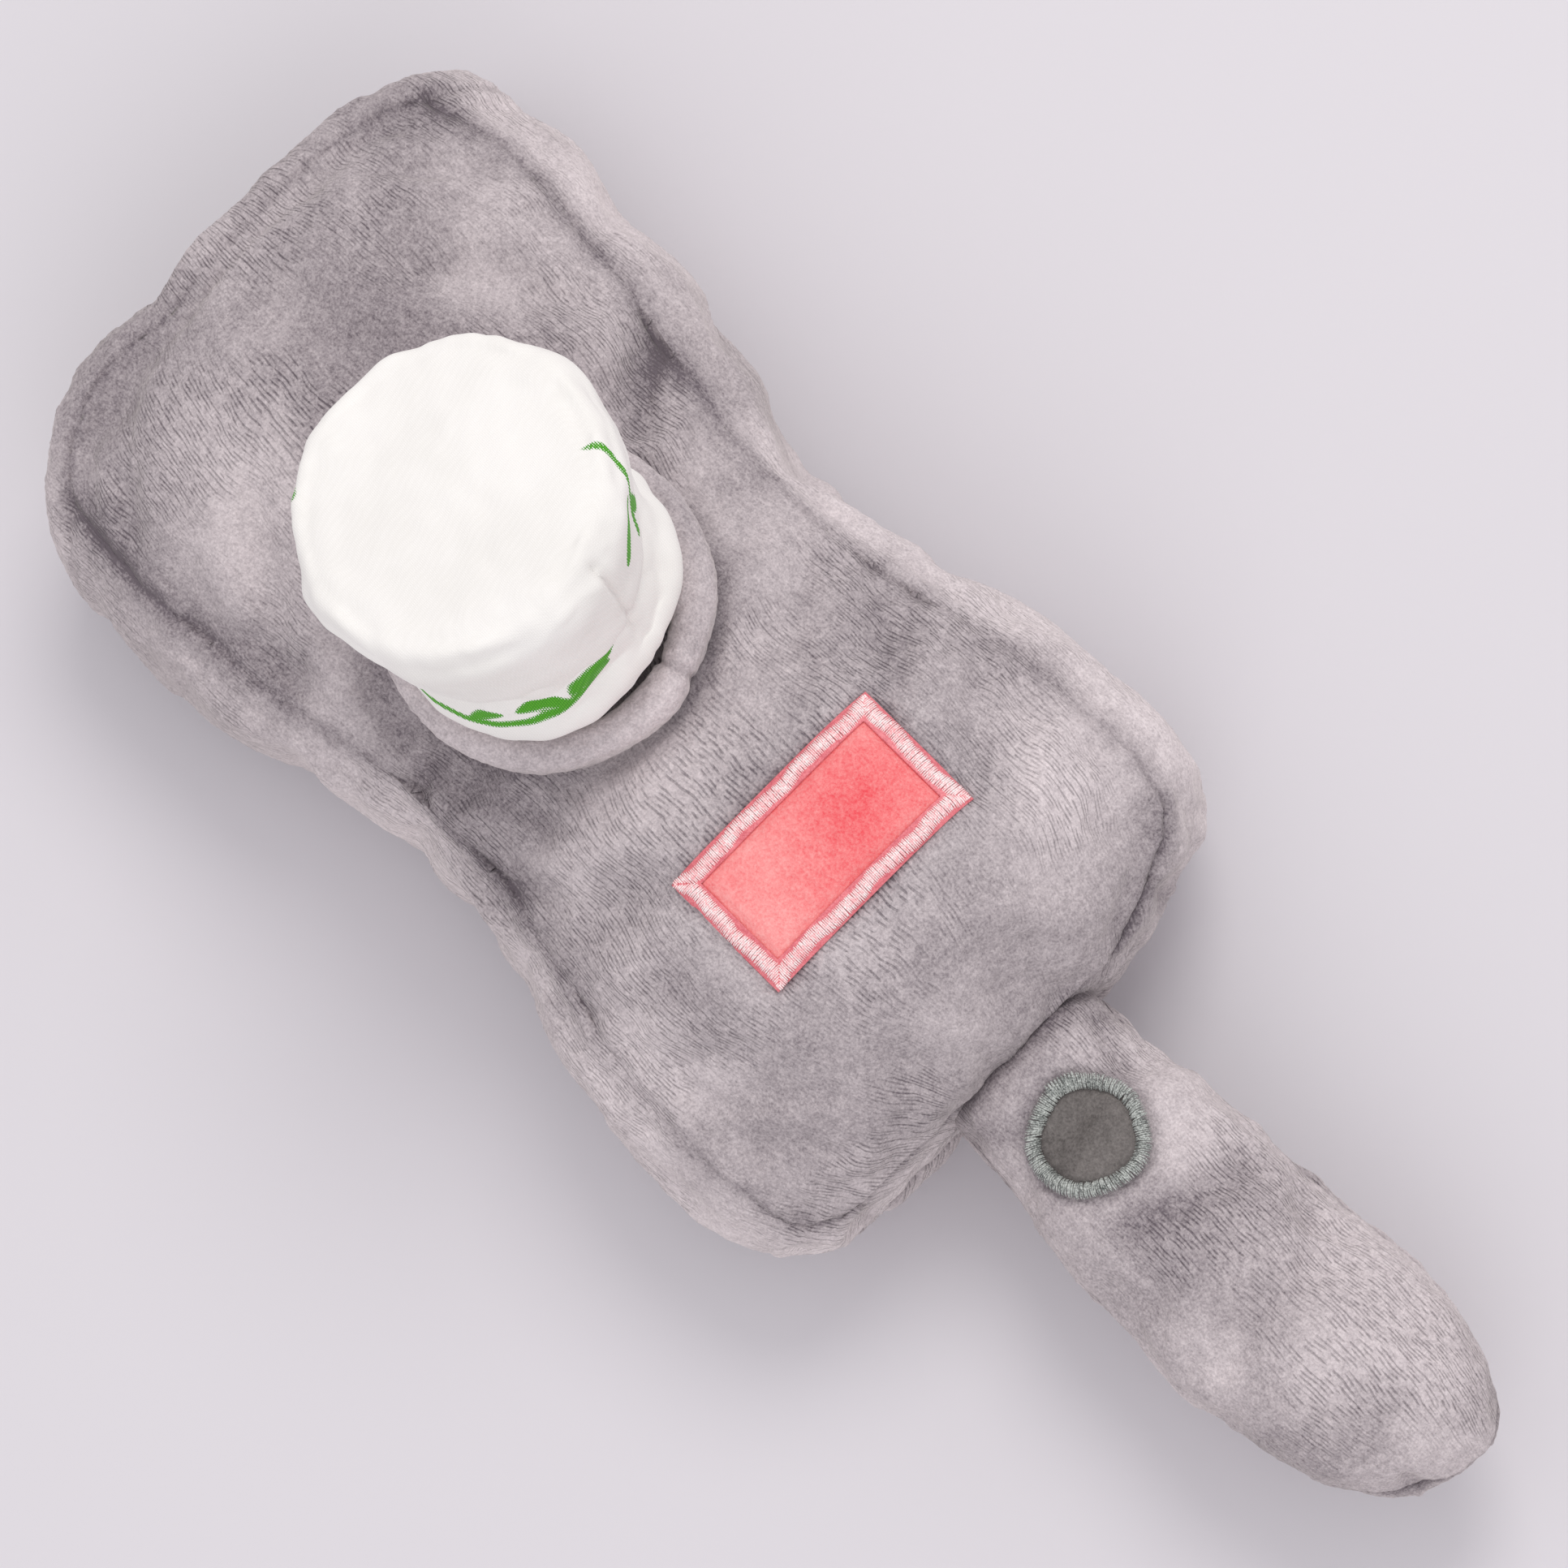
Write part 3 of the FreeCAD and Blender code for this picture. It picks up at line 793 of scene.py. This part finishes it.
def collarPiece():
    middle = (collar["outer"] + collar["inner"]) / 2 - collar["shiftIn"]
    roll = (collar["outer"] - collar["inner"]) / 2 + collar["fatter"]
    deselect()
    bpy.ops.mesh.primitive_torus_add(major_segments=240, minor_segments=32, major_radius=middle / 1000,
                                     minor_radius=roll / 1000)
    ring = bpy.context.active_object
    ring.name = ring.data.name = "cupCollar"
    local = readPoints(ring)
    x, y = local[:, 0] + collar["centre"][0], local[:, 1] + collar["centre"][1]
    ground = layOn(smoothBody, np.column_stack([x, y, np.zeros(len(x))]))[:, 2]
    ground = ground * 0.35 + float(np.median(ground)) * 0.65  # the roll evens out the panel's slopes
    top = collar["top"] - roll
    rise = local[:, 2]
    z = np.where(rise > 0, top + rise, top + rise / roll * (top - ground + collar["footReach"]))
    points = np.column_stack([x, y, z])
    normals = readNormals(ring)
    joint = fromJoint(local[:, 0], local[:, 1])
    change = softNoise(points, (12, 12, 12), 41) * 0.7 + softNoise(points, (1.5, 1.5, 1.5), 42) * 0.22
    change -= 1.0 * bell(joint * middle, 1.0)
    writePoints(ring, points + normals * change[:, None])
    refine(ring, 1)
    points, normals = readPoints(ring), readNormals(ring)
    writePoints(ring, points + normals * (softNoise(points, (1.1, 1.1, 1.1), 43) * 0.18)[:, None])
    x, y = (points[:, :2] - collar["centre"]).T
    joint = fromJoint(x, y)
    reach = np.hypot(x, y)
    # painted shade at the collar's foot, stronger on its outer side, and in the dent at its joint
    foot = (1 - ramp(points[:, 2], top - 8, top - 1)) * (0.1 + 0.6 * ramp(reach, middle, collar["outer"]))
    keepValues(ring, "shade", foot + 0.4 * bell(joint * middle, 1.0) - 0.12)
    return ring


ring = collarPiece()
dress(ring, collarPile)
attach(ring, "cover")
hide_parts("cup_collar", "collar_filler")
print("stage: collar sewn")


cup = {
    "nodes": ["cup_wall", "cup_top", "cup_stuffing"],
    "voxel": 3.0,
    "cloth": {"quality": 5, "mass": 0.3, "stretch": 15.0, "shear": 5.0, "bend": 0.3, "shrink": -0.03,
              "pressure": 3.0, "frames": 20, "cap": 3.5, "quickSwell": 1.2},
    "pivot": (-68.5, -1.8, 78.8),
    "height": 48.0, "lean": 16.0, "sideLean": 3.5, "topRadius": 30.5,
    "wallRadius": 28.0, "topSeam": 3.4,  # the top's seam lies this far inside its rim
    "seamAngle": 18.0, "slump": (-3.8, 4.2),  # how far the top has settled sideways
    "spread": 0.125,  # how much wider the stuffing has made the top
    "bulges": [(2.3, 3.5, 5.0), (3.2, 22.0, 13.0)],  # swell, height and reach of the rolls over the collar
    "rimUneven": [0.9, -0.6, 0.4, 1.0, -0.2, -1.0, 0.6, 0.2, -0.9, 0.8, 0.9, -0.5, -0.3, 1.0, 0.1, -0.8,
                  0.5, 1.0, -0.4, -1.0, 0.7, 0.3, -0.6, 0.5, 0.9],  # out and in round the rim
}
cupTilt = [-math.tan(math.radians(cup[lean])) for lean in ("lean", "sideLean")]
cupAxis = np.array(Vector((*cupTilt, 1)).normalized())


def cupPlace(points):
    # along the cup's axis from the hinge, distance from the axis, and angle round it
    local = points - np.array(cup["pivot"])
    height = local @ cupAxis
    flat = local - np.outer(height, cupAxis)
    sideX = np.array([1.0, 0, 0]) - cupAxis[0] * cupAxis
    sideX /= np.linalg.norm(sideX)
    sideY = np.cross(cupAxis, sideX)
    return height, np.linalg.norm(flat, axis=1), np.degrees(np.arctan2(flat @ sideY, flat @ sideX))


def degreesFrom(angle, middle):
    return (angle - middle + 180) % 360 - 180


def settled(height):
    # how far the stuffing has let the cup slump sideways, at each height
    return np.outer(np.clip(height, 0, 50) / cup["height"], cup["slump"])


noPrint = 9.0  # an ink distance that is well clear of the print


def printDots():
    # the printed sprig as round dots: angle, height, half width
    stems = [  # (angle, height) along the wall, and half width
        ([(-108, 15), (-90, 10), (-66, 8), (-44, 8.5), (-22, 10), (0, 14)], 0.9),
        ([(60, 47), (50, 38), (46, 24)], 0.75),
    ]
    leaves = [  # middle (angle, height), length, degrees from level, half width
        ((-6, 14.0), 13, 22, 1.6), ((-30, 11.0), 12, -8, 1.5), ((-56, 9.6), 9, 24, 1.2),
        ((38, 35.0), 12, 42, 1.9), ((55, 30.0), 11, 112, 1.6),
        ((-142, 43), 9, 62, 1.8), ((-158, 38), 9, 24, 1.6),
    ]
    dots = []
    for line, halfWidth in stems:
        angles, heights = np.array(line, float).T
        for share in np.linspace(0, 1, 160):  # thicker towards its end
            step = share * (len(line) - 1)
            spot = np.interp(step, range(len(line)), angles), np.interp(step, range(len(line)), heights)
            dots.append((*spot, halfWidth * (0.7 + 0.3 * share)))
    for (middle, height), long, slant, halfWidth in leaves:
        slope = math.radians(slant)
        for share in np.linspace(-1, 1, 25):  # a curved spine, thickest in the middle
            run, rise = share * long / 2, 0.10 * long * (1 - share * share)
            turn = (run * math.cos(slope) - rise * math.sin(slope)) / cup["wallRadius"]
            up = run * math.sin(slope) + rise * math.cos(slope)
            dots.append((middle + math.degrees(turn), height + up, halfWidth * (1 - share * share) ** 0.6))
    return dots


def inkDistance(points):
    # distance in millimetres to the edge of the print, negative inside it
    height, reach, angle = cupPlace(points)
    best = np.full(len(points), noPrint)
    for dotAngle, dotHeight, halfWidth in printDots():
        sideways = np.radians(degreesFrom(angle, dotAngle)) * reach
        best = np.minimum(best, np.hypot(sideways, height - dotHeight) - halfWidth)
    onWall = reach > 20
    return np.where(onWall, best, noPrint)


cupSkin = castSkin("cupWall", cup["nodes"], cup["voxel"])
points, normals = readPoints(cupSkin), readNormals(cupSkin)
height, reach, angle = cupPlace(points)
atRim = bell(height - (cup["height"] - 1.5), 2.5) * ramp(reach, 23, 28)
onTop = ramp(height, cup["height"] - 4, cup["height"] - 1)
held = np.clip(np.maximum.reduce([atRim, onTop * 0.75, 1 - ramp(height, -6, 2)]), 0, 1)
puff(cupSkin, cup["cloth"], held)
refine(cupSkin, 2)
points, normals = readPoints(cupSkin), readNormals(cupSkin)
height, reach, angle = cupPlace(points)
onTop = (height > cup["height"] - 3.0) & (reach < cup["topRadius"] + 1)
fromSeam = np.radians(degreesFrom(angle, cup["seamAngle"])) * reach
rim = bell(height - (cup["height"] - 0.6), 2.2) * ramp(reach, 25, 28.5)
scallop = np.interp((angle + 180) % 360, np.linspace(0, 360, len(cup["rimUneven"])), cup["rimUneven"])
turn = np.radians(angle)
facets = 0.9 * np.cos(7 * turn + 0.6) + 0.7 * np.cos(4 * turn - 1.1) + 0.5 * np.cos(11 * turn)
upward = ramp(height, 26, 47)
pull = rim * (0.9 + 0.8 * scallop) + 0.55 * facets * upward * ramp(reach, 22, 28)
insideRim = bell(reach - (cup["topRadius"] - cup["topSeam"]), 1.2)
insideRim *= ramp(height, cup["height"] - 4, cup["height"] - 2)
pull -= 0.8 * insideRim * (0.75 + 0.4 * scallop)
belowRim = bell(height - (cup["height"] - 4.6), 1.3) * ramp(reach, 22, 26)
pull -= 0.35 * belowRim * (0.7 + 0.5 * scallop)
wall = ramp(reach, 18, 24) * (1 - ramp(height, cup["height"] - 5, cup["height"] - 2))
pull -= 1.0 * bell(fromSeam, 0.8) * wall * ramp(height, 5, 14)
pull += 0.3 * bell(np.abs(fromSeam) - 2.0, 1.4) * wall
creases = softNoise(np.column_stack([angle * 0.5, height, reach * 0]), (4.5, 30, 1), 51)
pull += creases * 0.55 * wall * (ramp(height, 20, 44) + (1 - ramp(height, 2, 14)) * 1.2)
pull += softNoise(points, (16, 16, 16), 52) * 0.5 * wall
pull += softNoise(points, (20, 20, 20), 53) * 0.35 * onTop
for swell, middle, width in cup["bulges"]:
    pull += swell * bell(height - middle, width) * ramp(reach, 20, 24)
keepValues(cupSkin, "ink", inkDistance(points))
fromAxis = points - np.array(cup["pivot"]) - np.outer(height, cupAxis)
points = points + normals * pull[:, None] + fromAxis * (cup["spread"] * ramp(height, 8, 42))[:, None]
points[:, :2] += settled(height)
writePoints(cupSkin, points)


def onCupTop(mesh):
    centres = centresOf(mesh)
    centres[:, :2] -= settled(cupPlace(centres)[0])
    height, reach, _ = cupPlace(centres)
    return (height > cup["height"] - 5) & (reach < cup["topRadius"] - cup["topSeam"])


cupTop = split(cupSkin, "cupTop", onCupTop)
for piece, stoodFor in ((cupSkin, ["cup_wall", "cup_stuffing"]), (cupTop, ["cup_top"])):
    dress(piece, whiteCloth)
    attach(piece, "cup")
    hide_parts(*stoodFor)
cupBase = nodes["cup_base"]
keepValues(cupBase, "ink", np.full(len(cupBase.data.vertices), noPrint))
cupBase.data.materials.clear()
cupBase.data.materials.append(whiteCloth)
print("stage: cup stuffed")


handle = {
    "nodes": ["handle_top_panel", "handle_bottom_panel", "handle_stuffing"],
    "voxel": 3.5,
    "cloth": {"quality": 5, "mass": 0.3, "stretch": 12.0, "shear": 4.0, "bend": 0.4, "shrink": -0.04,
              "pressure": 3.0, "frames": 20, "cap": 4.0, "quickSwell": 1.5},
    "slim": 1.5,
    "blendStart": (0.061, 0.0, 0.031), "blendEnd": (0.092, 0.0, 0.031),  # in metres, as the frame is
    "seamHeight": 31.0, "seamDepth": 1.6, "top": 49.0, "widest": 25.0,
    "rootSink": 6.5, "rootTaller": 0.34,  # the gathered root runs into the body's end
    "tipTrim": 0.14,  # how much narrower the tip is on the left
}
button = {
    "centre": (81.5, -1.5), "radius": 9.6, "border": 3.4, "dent": 0.8, "sink": 0.8,
    "stitches": 165, "stitchWidth": 0.46, "stitchHeight": 0.5, "arch": 1.25,
    "doubled": 9,  # stitches that lie double where the thread starts and ends
}
buttonReach = button["radius"] + button["border"]

# start, end, depth, width, as on the body
handleFolds = [
    ((66, 17), (76, 13), 1.6, 2.6),
    ((101, -8), (108, 16), 1.6, 4.5),
    ((64, -19), (74, -12), 1.2, 3.0),
    ((176, -6), (183, -2), 1.8, 2.0),
]

handleCast = castSkin("handleCast", handle["nodes"], handle["voxel"])
points, normals = readPoints(handleCast), readNormals(handleCast)
side = np.abs(normals[:, 2]) < 0.75
onSeam = bell(points[:, 2] - handle["seamHeight"], 3.0) * side
held = np.clip(np.maximum(onSeam, 1 - ramp(points[:, 0], 66, 76)), 0, 1)
writePoints(handleCast, points - normals * (handle["slim"] * (1 - held))[:, None])
puff(handleCast, handle["cloth"], held)
refine(handleCast, 1)
points = readPoints(handleCast)
root = 1 - ramp(points[:, 0], 60, 80)
points[:, 2] += (points[:, 2] - handle["seamHeight"]) * handle["rootTaller"] * root
points[:, 0] -= handle["rootSink"] * root
tip = ramp(points[:, 0], 140, 172)
points[:, 1] -= np.minimum(points[:, 1], 0) * handle["tipTrim"] * tip
writePoints(handleCast, points)
smoothHandle = surfaceOf(handleCast)
refine(handleCast, 1)
cutAlong(handleCast, 2, lambda p: np.full(len(p), handle["seamHeight"]))
points, normals = readPoints(handleCast), readNormals(handleCast)
side = ramp(-np.abs(normals[:, 2]), -0.9, -0.5)
seam = bell(points[:, 2] - handle["seamHeight"], 1.7) * side
pull = -handle["seamDepth"] * seam
above = points[:, 2] > handle["seamHeight"]
fold = foldDepth(points, handleFolds) * above
pull -= fold
lumps = softNoise(points, (26, 20, 20), 61) * 0.8 + softNoise(points, (11, 9, 9), 62) * 0.35
pull += lumps * (1 - seam)
fromButton = np.hypot(*(points[:, :2] - button["centre"]).T) - buttonReach
pull -= button["dent"] * (1 - ramp(fromButton, -1, 4)) * above
pull += pileRelief(points, 63)
keepValues(handleCast, "across", acrossSkin(points, handle["top"], handle["widest"]))
# painted shade in the side seam, the folds, at the root where the handle runs into the body, and round the
# button
shade = 0.6 * seam + 0.2 * fold + 0.5 * (1 - ramp(points[:, 0], 58, 63))
shade += 0.35 * above * bell(fromButton - 0.3, 1.4)
keepValues(handleCast, "shade", np.clip(shade, 0, 1))
writePoints(handleCast, points + normals * pull[:, None])
handleTop = split(handleCast, "handleTop", lambda mesh: centresOf(mesh)[:, 2] > handle["seamHeight"])
handleBottom = handleCast
handleBottom.name = handleBottom.data.name = "handleBottom"


def buttonPieces():
    rng = np.random.default_rng(8)
    centre = np.array(button["centre"])
    middle = button["radius"] + button["border"] / 2
    placed = []
    for i in range(button["stitches"]):
        turn = 2 * math.pi * i / button["stitches"]
        out = np.array([math.cos(turn), math.sin(turn)])
        wobble = 0.25 * math.sin(3 * turn + 0.6) + 0.2 * math.sin(5 * turn)
        spot = centre + out * (middle + wobble) + rng.normal(0, 0.05, 2)
        skew = rng.normal(0.12, 0.06)
        across = np.array([math.cos(turn + skew), math.sin(turn + skew)])
        flat = stitchPoints(stitch, spot, across, button["border"] + rng.normal(0.2, 0.12),
                            button["stitchWidth"], button["stitchHeight"], button["arch"])
        flat[:, 2] += 0.75
        placed.append(layOn(smoothHandle, flat, button["sink"]))
    for i in range(button["doubled"]):
        turn = math.radians(150 + i * 3.2)
        out = np.array([math.cos(turn), math.sin(turn)])
        flat = stitchPoints(stitch, centre + out * (middle + 0.5), out, button["border"] + 0.6,
                            0.7, button["stitchHeight"], 0.9)
        flat[:, 2] += 1.0
        placed.append(layOn(smoothHandle, flat, button["sink"]))
    ringStitches = copyMany("buttonStitches", stitch, placed)
    # the disc inside the ring, a grid with its corners drawn in to a circle
    deselect()
    bpy.ops.mesh.primitive_grid_add(x_subdivisions=44, y_subdivisions=44, size=1, location=(0, 0, 0))
    disc = bpy.context.active_object
    disc.name = disc.data.name = "buttonDisc"
    x, y, _ = (readPoints(disc) / 500).T  # -1 to 1
    rounded = np.column_stack([x * np.sqrt(1 - y * y / 2), y * np.sqrt(1 - x * x / 2)])
    rounded *= button["radius"] + 1.4
    reach = np.hypot(*rounded.T)
    rise = 0.2 + 0.95 * (1 - ramp(reach, button["radius"] - 1.6, button["radius"] + 1.0))
    spots = np.column_stack([rounded + centre, rise])
    spots[:, 2] += softNoise(spots * [1, 1, 0], (1.0, 1.0, 1), 71) * 0.12
    writePoints(disc, layOn(smoothHandle, spots, button["sink"]))
    thicken(disc, 0.8)
    return ringStitches, disc


ringStitches, disc = buttonPieces()
for piece, finish, slotName, stoodFor in (
    (handleTop, greyPile, "grey_plush", ["handle_top_panel", "handle_stuffing"]),
    (handleBottom, greyPile, "grey_plush", ["handle_bottom_panel"]),
    (ringStitches, greenGreyThread, "green_thread", ["button_border"]),
    (disc, buttonPile, "dark_plush", ["button_disc"]),
):
    dress(piece, finish)
    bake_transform(piece)
    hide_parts(*stoodFor)
bpy.data.objects.remove(stitch)
print("stage: handle stuffed")


deselect()
bpy.ops.mesh.primitive_plane_add(size=8, location=(0, 0, 0))
floor = bpy.context.active_object
floor.name = "floor"
floorFinish = Finish("floorFinish", Roughness=0.9)
floorFinish.shader.inputs["Specular IOR Level"].default_value = 0.1
floorFinish.shader.inputs["Base Color"].default_value = rgb(218, 214, 218)
floor.data.materials.append(floorFinish.material)

scene = bpy.context.scene
scene.view_settings.view_transform = "Standard"
world = bpy.data.worlds.new("studio")
scene.world = world
world.use_nodes = True
background = world.node_tree.nodes["Background"]
background.inputs["Color"].default_value = (0.98, 0.97, 1.0, 1)
background.inputs["Strength"].default_value = 0.80


def softLight(name, spot, size, power, colour):
    light = bpy.data.lights.new(name, "AREA")
    light.shape = "DISK"
    light.size = size
    light.energy = power
    light.color = colour
    lamp = bpy.data.objects.new(name, light)
    scene.collection.objects.link(lamp)
    lamp.location = spot
    bodyMiddle = Vector((0, 0, 0.03))
    lamp.rotation_euler = (bodyMiddle - Vector(spot)).to_track_quat("-Z", "Y").to_euler()


softLight("keyLight", (-0.5, 0.9, 1.5), 0.9, 10, (1.0, 0.985, 0.96))
softLight("fillLight", (0.9, -0.8, 1.1), 1.2, 3.5, (0.97, 0.98, 1.0))

view = {
    "target": (-0.0160, 0.0058, 0.033), "distance": 2.2, "elevation": 78.0, "azimuth": 90.0,
    "roll": 44.7,  # how far the cover's length is turned down from level, as the camera sees it
    "span": 0.3188,  # width of what is seen at the target
    "sensor": 36,
}
camera = bpy.data.objects.new("camera", bpy.data.cameras.new("camera"))
scene.collection.objects.link(camera)
elevation, azimuth = math.radians(view["elevation"]), math.radians(view["azimuth"])
level = Vector((math.sin(azimuth), -math.cos(azimuth), 0))
back = level * math.cos(elevation) + Vector((0, 0, math.sin(elevation)))
lengthways = (Vector((1, 0, 0)) - back * back.x).normalized()
sideways = back.cross(lengthways)
roll = math.radians(view["roll"])
right = lengthways * math.cos(roll) + sideways * math.sin(roll)
up = back.cross(right)
turned = Matrix((right, up, back)).transposed().to_4x4()
camera.matrix_world = Matrix.Translation(Vector(view["target"]) + back * view["distance"]) @ turned
camera.data.sensor_width = view["sensor"]
camera.data.lens = view["sensor"] * view["distance"] / view["span"]
camera.data.clip_start = 0.01
scene.camera = camera
print("stage: lights and camera set")
